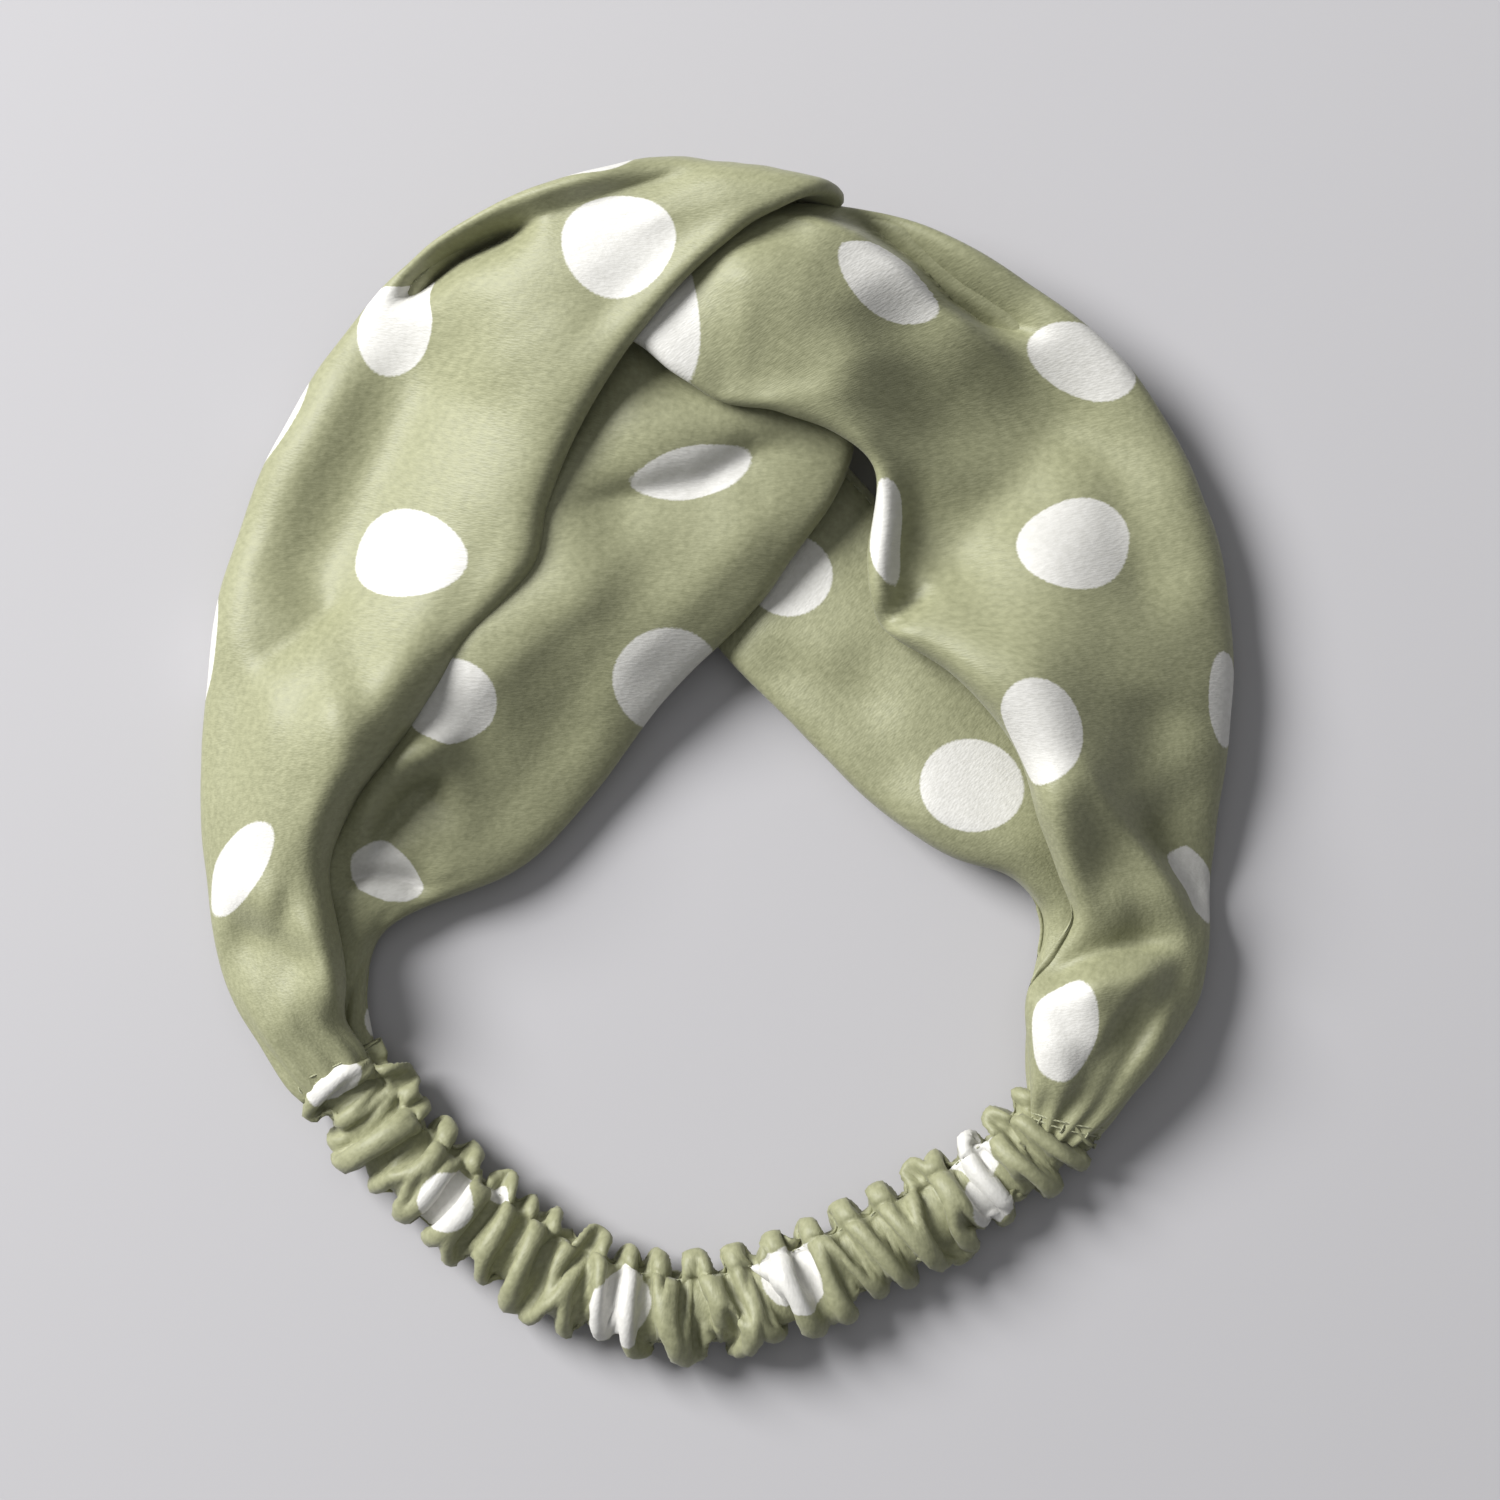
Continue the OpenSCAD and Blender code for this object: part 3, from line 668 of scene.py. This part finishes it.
def on_leg(wrap):
    """A wrap's dots, each with the part of the wrap that it is on."""
    dots = [(*dot, None) for dot in EDGE_DOTS] + DOTS
    return [(wrap.leg(dot[1]), *dot[2:]) for dot in dots if dot[0] is wrap]


# ---------- meshes
def link_object(name, data):
    obj = bpy.data.objects.new(name, data)
    bpy.context.scene.collection.objects.link(obj)
    return obj


def cloth_coordinates(mesh, points):
    """Lay the mesh of a grid out flat, with metres along it and round it as its UVs."""
    along = np.linalg.norm(np.diff(points, axis=0), axis=2).mean(axis=1)
    s = np.concatenate([[0.0], np.cumsum(along)])
    around = np.linalg.norm(np.roll(points, -1, axis=1) - points, axis=2).mean(axis=0)
    t = np.concatenate([[0.0], np.cumsum(around)])
    row, column = np.indices((len(along), len(around)))
    corners = np.stack([
        np.stack([s[row], t[column]], -1), np.stack([s[row + 1], t[column]], -1),
        np.stack([s[row + 1], t[column + 1]], -1), np.stack([s[row], t[column + 1]], -1),
    ], axis=2)
    uv = mesh.uv_layers.new(name="cloth")
    uv.data.foreach_set("uv", (corners * MM).astype(np.float32).ravel())


def grid_mesh(name, points, material, field=None):
    """A piece of quads through a grid of points in mm that closes round its columns."""
    rows, columns = points.shape[:2]
    first = np.arange(rows - 1)[:, None] * columns
    column = np.arange(columns)[None, :]
    a = first + column
    b = first + (column + 1) % columns
    faces = np.stack([a, a + columns, b + columns, b], axis=-1).reshape(-1, 4)
    mesh = bpy.data.meshes.new(name)
    mesh.from_pydata((points.reshape(-1, 3) * MM).tolist(), [], faces.tolist())
    if field is not None:
        mesh.attributes.new("dot", "FLOAT", "POINT").data.foreach_set("value", field.ravel())
    cloth_coordinates(mesh, points)
    mesh.polygons.foreach_set("use_smooth", [True] * len(mesh.polygons))
    mesh.materials.append(material)
    mesh.update()
    return link_object(name, mesh)


def apply_modifiers(obj):
    depsgraph = bpy.context.evaluated_depsgraph_get()
    mesh = bpy.data.meshes.new_from_object(obj.evaluated_get(depsgraph))
    old = obj.data
    obj.modifiers.clear()
    obj.data = mesh
    mesh.name = old.name
    bpy.data.meshes.remove(old)


def thicken(obj, thickness):
    solid = obj.modifiers.new("cloth", "SOLIDIFY")
    solid.thickness = thickness
    solid.offset = -1.0
    apply_modifiers(obj)


# ---------- thread and elastic
THREAD_R = 0.17  # mm
THREAD_SIDES = 6
STITCH_POINTS = 7
STITCH_ARCH, STITCH_DIP = 0.32, 0.14  # mm, a stitch's rise over its ends, and their depth
STITCH_SHARE = 0.7  # the part of each pitch that is thread on top of the cloth
SEAM_COLUMN = 2 * HALF_COLUMNS - 4  # on the face that folds inwards, by the outer edge
SEAM_PITCH, SEAM_SHORT = 3.0, 8  # mm, and rows left free at each end
TOPSTITCH_PITCH, TOPSTITCH_SHORT = 2.6, 3  # mm, and rows left free at each end
GATHER_TURNS = (2.4, 3.1)  # mm back from the wrap's ends
OUTLINE_POINTS = 60
OUTLINE_SOFTENINGS = 6
OUTLINE_DIP = 0.1  # mm
JOIN_BACK = 2.2  # mm back from the wrap's ends
JOIN_COUNT = 12
JOIN_REACH = 0.8  # mm, half a stitch's length
JOIN_ARCH, JOIN_DIP = 0.3, 0.05  # mm


def tube_faces(rings, sides, first):
    """The faces of a closed tube whose points start at first, with its two ends."""
    faces = []
    for i in range(rings - 1):
        for k in range(sides):
            a, b = first + i * sides + k, first + i * sides + (k + 1) % sides
            faces.append((a, a + sides, b + sides, b))
    faces.append(tuple(range(first, first + sides)))
    last = first + (rings - 1) * sides
    faces.append(tuple(range(last + sides - 1, last - 1, -1)))
    return faces


def thread_mesh(name, paths, loop=False):
    """A piece of thread along each path, in mm."""
    points, faces = [], []
    turn = 2 * math.pi * np.arange(THREAD_SIDES) / THREAD_SIDES
    for path in paths:
        path = np.vstack([path, path[:2]]) if loop else path
        travel = units(np.gradient(path, axis=0))
        side = units(np.cross(travel, UP + 0.01))
        lift = np.cross(side, travel)
        ring = np.cos(turn)[None, :, None] * side[:, None] + np.sin(turn)[None, :, None] * lift[:, None]
        faces += tube_faces(len(path), THREAD_SIDES, len(points) * THREAD_SIDES)
        points += list(path[:, None] + THREAD_R * ring)
    mesh = bpy.data.meshes.new(name)
    mesh.from_pydata((np.array(points).reshape(-1, 3) * MM).tolist(), [], faces)
    mesh.polygons.foreach_set("use_smooth", [True] * len(mesh.polygons))
    mesh.materials.append(thread)
    return link_object(name, mesh)


def stitches(path, normals, pitch):
    """Short lengths of thread along a path on the cloth, dipping in at both ends."""
    run = run_along(path)
    arch = np.sin(math.pi * np.linspace(0, 1, STITCH_POINTS))
    part = np.linspace(0.5 - STITCH_SHARE / 2, 0.5 + STITCH_SHARE / 2, STITCH_POINTS)
    out = []
    for k in range(int(run[-1] / pitch)):
        at = (k + part) * pitch
        p = np.stack([np.interp(at, run, path[:, j]) for j in range(3)], axis=1)
        n = np.stack([np.interp(at, run, normals[:, j]) for j in range(3)], axis=1)
        out.append(p + (STITCH_ARCH * arch - STITCH_DIP)[:, None] * n)
    return out


def seam_paths(p, column, pitch, short):
    """Stitches along one column of a grid, short of its ends by a number of rows."""
    rows = slice(short, len(p) - short)
    return stitches(p[rows, column], grid_normals(p)[rows, column], pitch)


def neck_outline(wrap, back):
    """The line round both legs of a wrap at a distance back from their ends, in mm, with
    the way out at each point and the way along the neck."""
    run = run_along(wrap.points.mean(axis=1))
    rows = [int(np.searchsorted(run, back)), int(np.searchsorted(run, run[-1] - back))]
    p = wrap.points[rows].reshape(-1, 3)
    travel = units(wrap.points[rows[0] + 3].mean(axis=0) - wrap.points[rows[0]].mean(axis=0))
    side = units(np.cross(UP, travel))
    turn = 2 * math.pi * np.arange(OUTLINE_POINTS) / OUTLINE_POINTS
    ways = np.cos(turn)[:, None] * side + np.sin(turn)[:, None] * UP
    line = p[np.argmax((p - p.mean(axis=0)) @ ways.T, axis=0)]
    for _ in range(OUTLINE_SOFTENINGS):
        line = line + 0.5 * ((np.roll(line, 1, axis=0) + np.roll(line, -1, axis=0)) / 2 - line)
    return line - OUTLINE_DIP * ways, ways, travel


def gather_thread(name, wrap):
    """The turns of thread that draw a wrap's two legs together."""
    return thread_mesh(name, [neck_outline(wrap, back)[0] for back in GATHER_TURNS], loop=True)


def join_stitches(name, wrap):
    """Short stitches across the casing's lip, all round the neck."""
    line, ways, travel = neck_outline(wrap, JOIN_BACK)
    at = np.linspace(-1, 1, STITCH_POINTS)[:, None]
    rise = JOIN_ARCH * (1 - at ** 2) - JOIN_DIP
    paths = []
    for k in range(0, len(line), len(line) // JOIN_COUNT):
        paths.append(line[k] + JOIN_REACH * at * travel + rise * ways[k])
    return thread_mesh(name, paths)


ELASTIC_HALF_W, ELASTIC_HALF_T = 5.0, 0.5
ELASTIC_CORDS = 8
CORD_POINTS = 8
GROOVE = 0.28  # the depth between two cords, as a share of the half thickness
EDGE_THIN, EDGE_SLOPE = 0.35, 6.0  # the band's thickness at its edge, and how it grows
ELASTIC_SHORT = 2.0  # mm, how far the elastic stops short of the casing's ends
ELASTIC_RINGS = 260
WEAVE_STEP, WEAVE_DEPTH = 1.4, 0.06  # mm, and a share of the thickness


def elastic_points():
    """The elastic: a flat band with a cord of rubber in each rib."""
    across = np.linspace(-1, 1, CORD_POINTS * ELASTIC_CORDS + 1)
    rib = 1 - GROOVE + GROOVE * np.abs(np.sin(math.pi * ELASTIC_CORDS * (across + 1) / 2))
    edge = np.minimum(1.0, EDGE_SLOPE * (1 - np.abs(across)) + EDGE_THIN)
    face = np.column_stack([ELASTIC_HALF_W * across, ELASTIC_HALF_T * rib * edge])
    ring = np.vstack([face, face[::-1] * [1, -1]])
    at = np.linspace(ELASTIC_SHORT, casing_length - ELASTIC_SHORT, ELASTIC_RINGS)
    weave = 1 + WEAVE_DEPTH * np.cos(2 * math.pi * at / WEAVE_STEP)
    points = np.zeros((len(at), len(ring), 3))
    points[..., 0] = at[:, None]
    points[..., 1] = ring[None, :, 0]
    points[..., 2] = ring[None, :, 1] * weave[:, None]
    return along_casing(points)


# ---------- materials
GREENS = (0.225, 0.228, 0.130), (0.300, 0.302, 0.180)
WHITES = (0.56, 0.55, 0.515), (0.63, 0.62, 0.588)
THREAD_TONES = (0.21, 0.215, 0.12), (0.36, 0.365, 0.23)
ELASTIC_TONES = (0.62, 0.61, 0.57), (0.80, 0.79, 0.75)
FLOOR_TONE = (0.445, 0.437, 0.45)
TONE_ENDS = (0.3, 0.7)  # the noise between which the cloth's tones change
DOT_EDGE = 0.18  # mm, half the width of a printed dot's soft edge
DOT_FRAY = 0.5  # mm, how unevenly the print ends


def new_material(name):
    material = bpy.data.materials.new(name)
    material.use_nodes = True
    return material, material.node_tree


def add_node(tree, kind, values=(), sources=(), **settings):
    """A shader node with its settings, the values of its inputs and what feeds them."""
    made = tree.nodes.new(kind)
    for name, value in settings.items():
        setattr(made, name, value)
    for name, value in dict(values).items():
        made.inputs[name].default_value = value
    for name, source in dict(sources).items():
        tree.links.new(source, made.inputs[name])
    return made


def add_ramp(tree, source, tones, ends=(0.0, 1.0)):
    """A colour between two tones, as its source goes from one end to the other."""
    ramp = add_node(tree, "ShaderNodeValToRGB", sources={"Fac": source})
    for element, place, tone in zip(ramp.color_ramp.elements, ends, tones):
        element.position = place
        element.color = (*tone, 1)
    return ramp.outputs["Color"]


def surface(tree, colour, height, relief, wear, roughness):
    """Feed the surface its colour, a fine relief and a roughness that changes with wear."""
    shader = tree.nodes["Principled BSDF"]
    strength, distance = relief
    bump = add_node(tree, "ShaderNodeBump", {"Strength": strength, "Distance": distance}, {"Height": height})
    least, most = roughness
    rough = add_node(tree, "ShaderNodeMapRange", {"To Min": least, "To Max": most}, {"Value": wear})
    tree.links.new(colour, shader.inputs["Base Color"])
    tree.links.new(bump.outputs["Normal"], shader.inputs["Normal"])
    tree.links.new(rough.outputs["Result"], shader.inputs["Roughness"])
    return shader


def place_on_cloth(tree):
    return add_node(tree, "ShaderNodeUVMap", uv_map="cloth").outputs["UV"]


def dot_cover(tree, place):
    """1 inside a printed dot and 0 outside it, with a slightly uneven edge."""
    distance = add_node(tree, "ShaderNodeAttribute", attribute_name="dot").outputs["Fac"]
    fray = add_node(tree, "ShaderNodeTexNoise", {"Scale": 2200.0, "Detail": 1.0}, {"Vector": place})
    frayed = add_node(
        tree, "ShaderNodeMath", {1: DOT_FRAY}, {0: fray.outputs["Fac"], 2: distance},
        operation="MULTIPLY_ADD",
    )
    centred = add_node(
        tree, "ShaderNodeMath", {1: DOT_FRAY / 2}, {0: frayed.outputs[0]}, operation="SUBTRACT",
    )
    cover = add_node(
        tree, "ShaderNodeMapRange",
        {"From Min": -DOT_EDGE, "From Max": DOT_EDGE, "To Min": 1.0, "To Max": 0.0},
        {"Value": centred.outputs[0]},
    )
    return cover.outputs["Result"]


def printed_cloth():
    """Sage crepe-satin with off-white dots: fine crepe grain, soft sheen."""
    material, tree = new_material("printed_cloth")
    place = place_on_cloth(tree)
    noise = add_node(tree, "ShaderNodeTexNoise", {"Scale": 900.0, "Detail": 4.0}, {"Vector": place})
    tone = noise.outputs["Fac"]
    mix = add_node(tree, "ShaderNodeMix", sources={
        "Factor": dot_cover(tree, place),
        "A": add_ramp(tree, tone, GREENS, TONE_ENDS),
        "B": add_ramp(tree, tone, WHITES, TONE_ENDS),
    }, data_type="RGBA")
    stretch = add_node(
        tree, "ShaderNodeMapping", {"Rotation": (0, 0, 0.6), "Scale": (1.0, 0.45, 1.0)}, {"Vector": place},
    )
    grain = add_node(tree, "ShaderNodeTexVoronoi", {"Scale": 2600.0}, {"Vector": stretch.outputs["Vector"]})
    shader = surface(
        tree, mix.outputs["Result"], grain.outputs["Distance"], (0.22, 0.0002), tone, (0.46, 0.62),
    )
    shader.inputs["Sheen Weight"].default_value = 0.1
    shader.inputs["Sheen Roughness"].default_value = 0.45
    shader.inputs["Specular IOR Level"].default_value = 0.45
    return material


def sewing_thread():
    """Matt twisted thread, a little lighter than the cloth."""
    material, tree = new_material("sewing_thread")
    place = add_node(tree, "ShaderNodeTexCoord").outputs["Object"]
    twist = add_node(
        tree, "ShaderNodeTexWave", {"Scale": 900.0, "Distortion": 1.5}, {"Vector": place},
        bands_direction="DIAGONAL",
    ).outputs["Fac"]
    colour = add_ramp(tree, twist, THREAD_TONES)
    shader = surface(tree, colour, twist, (0.5, 0.0001), twist, (0.5, 0.75))
    shader.inputs["Sheen Weight"].default_value = 0.3
    return material


def woven_elastic():
    """White woven elastic: polyester yarn over rubber cords."""
    material, tree = new_material("woven_elastic")
    weave = add_node(
        tree, "ShaderNodeTexWave", {"Scale": 450.0, "Distortion": 2.0}, {"Vector": place_on_cloth(tree)},
        bands_direction="X",
    ).outputs["Fac"]
    surface(tree, add_ramp(tree, weave, ELASTIC_TONES), weave, (0.5, 0.0002), weave, (0.6, 0.8))
    return material


def pale_floor():
    """A plain matt floor."""
    material, tree = new_material("pale_floor")
    shader = tree.nodes["Principled BSDF"]
    shader.inputs["Base Color"].default_value = (*FLOOR_TONE, 1)
    shader.inputs["Roughness"].default_value = 0.9
    return material


# ---------- making the pieces
cloth = printed_cloth()
thread = sewing_thread()
rubber = woven_elastic()
CLOTH_THICKNESS = 0.35 * MM


def across_casing(piece):
    """Bake the piece's place into its mesh; it is attached to neither half."""
    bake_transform(piece)


def across_knot(piece):
    """Bake the piece's place into its mesh; it is attached to neither half."""
    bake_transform(piece)


def on_left(piece):
    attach(piece, "left_half")


def on_right(piece):
    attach(piece, "right_half")


def add(piece, node, place):
    """Place a piece with the given function, and hide the part of its node."""
    place(piece)
    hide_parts(node)


def sheet_piece(name, points, field):
    piece = grid_mesh(name, points, cloth, field=field)
    thicken(piece, CLOTH_THICKNESS)
    return piece


left_piece = sheet_piece("left_wrap_cloth", left.points, dot_field(left.points, on_leg(left)))
right_piece = sheet_piece("right_wrap_cloth", right.points, dot_field(right.points, on_leg(right)))
casing_top = casing[..., 2] > CASING_Z
casing_field = dot_field(casing, [(casing_top, *dot, None) for dot in CASING_DOTS])
casing_piece = sheet_piece("casing_cloth", casing, casing_field)
elastic_piece = grid_mesh("elastic_web", elastic_points(), rubber)
add(left_piece, "left_wrap", on_left)
add(right_piece, "right_wrap", across_knot)
add(casing_piece, "elastic_casing", across_casing)
add(elastic_piece, "elastic_band", across_casing)
for side, wrap, place, seam_place in (
    ("left", left, on_left, on_left),
    ("right", right, on_right, across_knot),
):
    seam = seam_paths(wrap.points, SEAM_COLUMN, SEAM_PITCH, SEAM_SHORT)
    add(thread_mesh(side + "_seam_stitches", seam), side + "_wrap_seam", seam_place)
    add(gather_thread(side + "_gather_turns", wrap), side + "_gather_thread", place)
    add(join_stitches(side + "_neck_stitches", wrap), side + "_join_stitches", place)
topstitch = seam_paths(casing, STITCH_COLUMN, TOPSTITCH_PITCH, TOPSTITCH_SHORT)
add(thread_mesh("casing_stitches", topstitch), "casing_topstitch", across_casing)
for node in ("left_elastic_tack", "right_elastic_tack"):
    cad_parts[node].data.materials.clear()
    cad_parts[node].data.materials.append(thread)


# ---------- camera and light
LENS, SENSOR = 85, 36  # mm
CAMERA_OFF = (0.0056, 0.0034)  # metres from the middle of the part, across and up the view
CAMERA_HEIGHT = 0.663  # metres
FLOOR_HALF = 2.0  # metres
# Each light: its azimuth and elevation in degrees, its distance and size in metres, and
# its power in watts.
LIGHTS = {
    "key": (148, 37, 2.2, 1.15, 92),
    "fill": (80, 75, 1.6, 1.2, 2.5),
}
SKY_TONE, SKY_STRENGTH = (0.95, 0.97, 1.0), 0.20


def make_camera():
    """A camera that looks straight down at the part."""
    data = bpy.data.cameras.new("camera")
    data.lens = LENS
    data.sensor_width = SENSOR
    camera = link_object("camera", data)
    low, high = (np.array(corner) for corner in cad_box)
    centre = (low + high) / 2
    camera.location = (centre[0] + CAMERA_OFF[0], centre[1] + CAMERA_OFF[1], CAMERA_HEIGHT)
    bpy.context.scene.camera = camera


def make_floor():
    corners = [(x * FLOOR_HALF, y * FLOOR_HALF, 0) for x, y in ((-1, -1), (1, -1), (1, 1), (-1, 1))]
    mesh = bpy.data.meshes.new("floor")
    mesh.from_pydata(corners, [], [(0, 1, 2, 3)])
    mesh.materials.append(pale_floor())
    link_object("floor", mesh)


def make_light(name, azimuth, elevation, distance, size, power):
    """A round soft light that points at the middle of the scene."""
    data = bpy.data.lights.new(name, "AREA")
    data.shape = "DISK"
    data.size = size
    data.energy = power
    light = link_object(name, data)
    azimuth, elevation = math.radians(azimuth), math.radians(elevation)
    toward = np.array([
        math.cos(azimuth) * math.cos(elevation),
        math.sin(azimuth) * math.cos(elevation),
        math.sin(elevation),
    ])
    light.location = toward * distance
    light.rotation_euler = (0.0, math.pi / 2 - elevation, azimuth)


def make_sky():
    world = bpy.data.worlds.new("studio")
    world.use_nodes = True
    background = world.node_tree.nodes["Background"]
    background.inputs["Color"].default_value = (*SKY_TONE, 1)
    background.inputs["Strength"].default_value = SKY_STRENGTH
    bpy.context.scene.world = world


make_camera()
make_floor()
for name, values in LIGHTS.items():
    make_light(name, *values)
make_sky()
bpy.context.scene.view_settings.view_transform = "Standard"
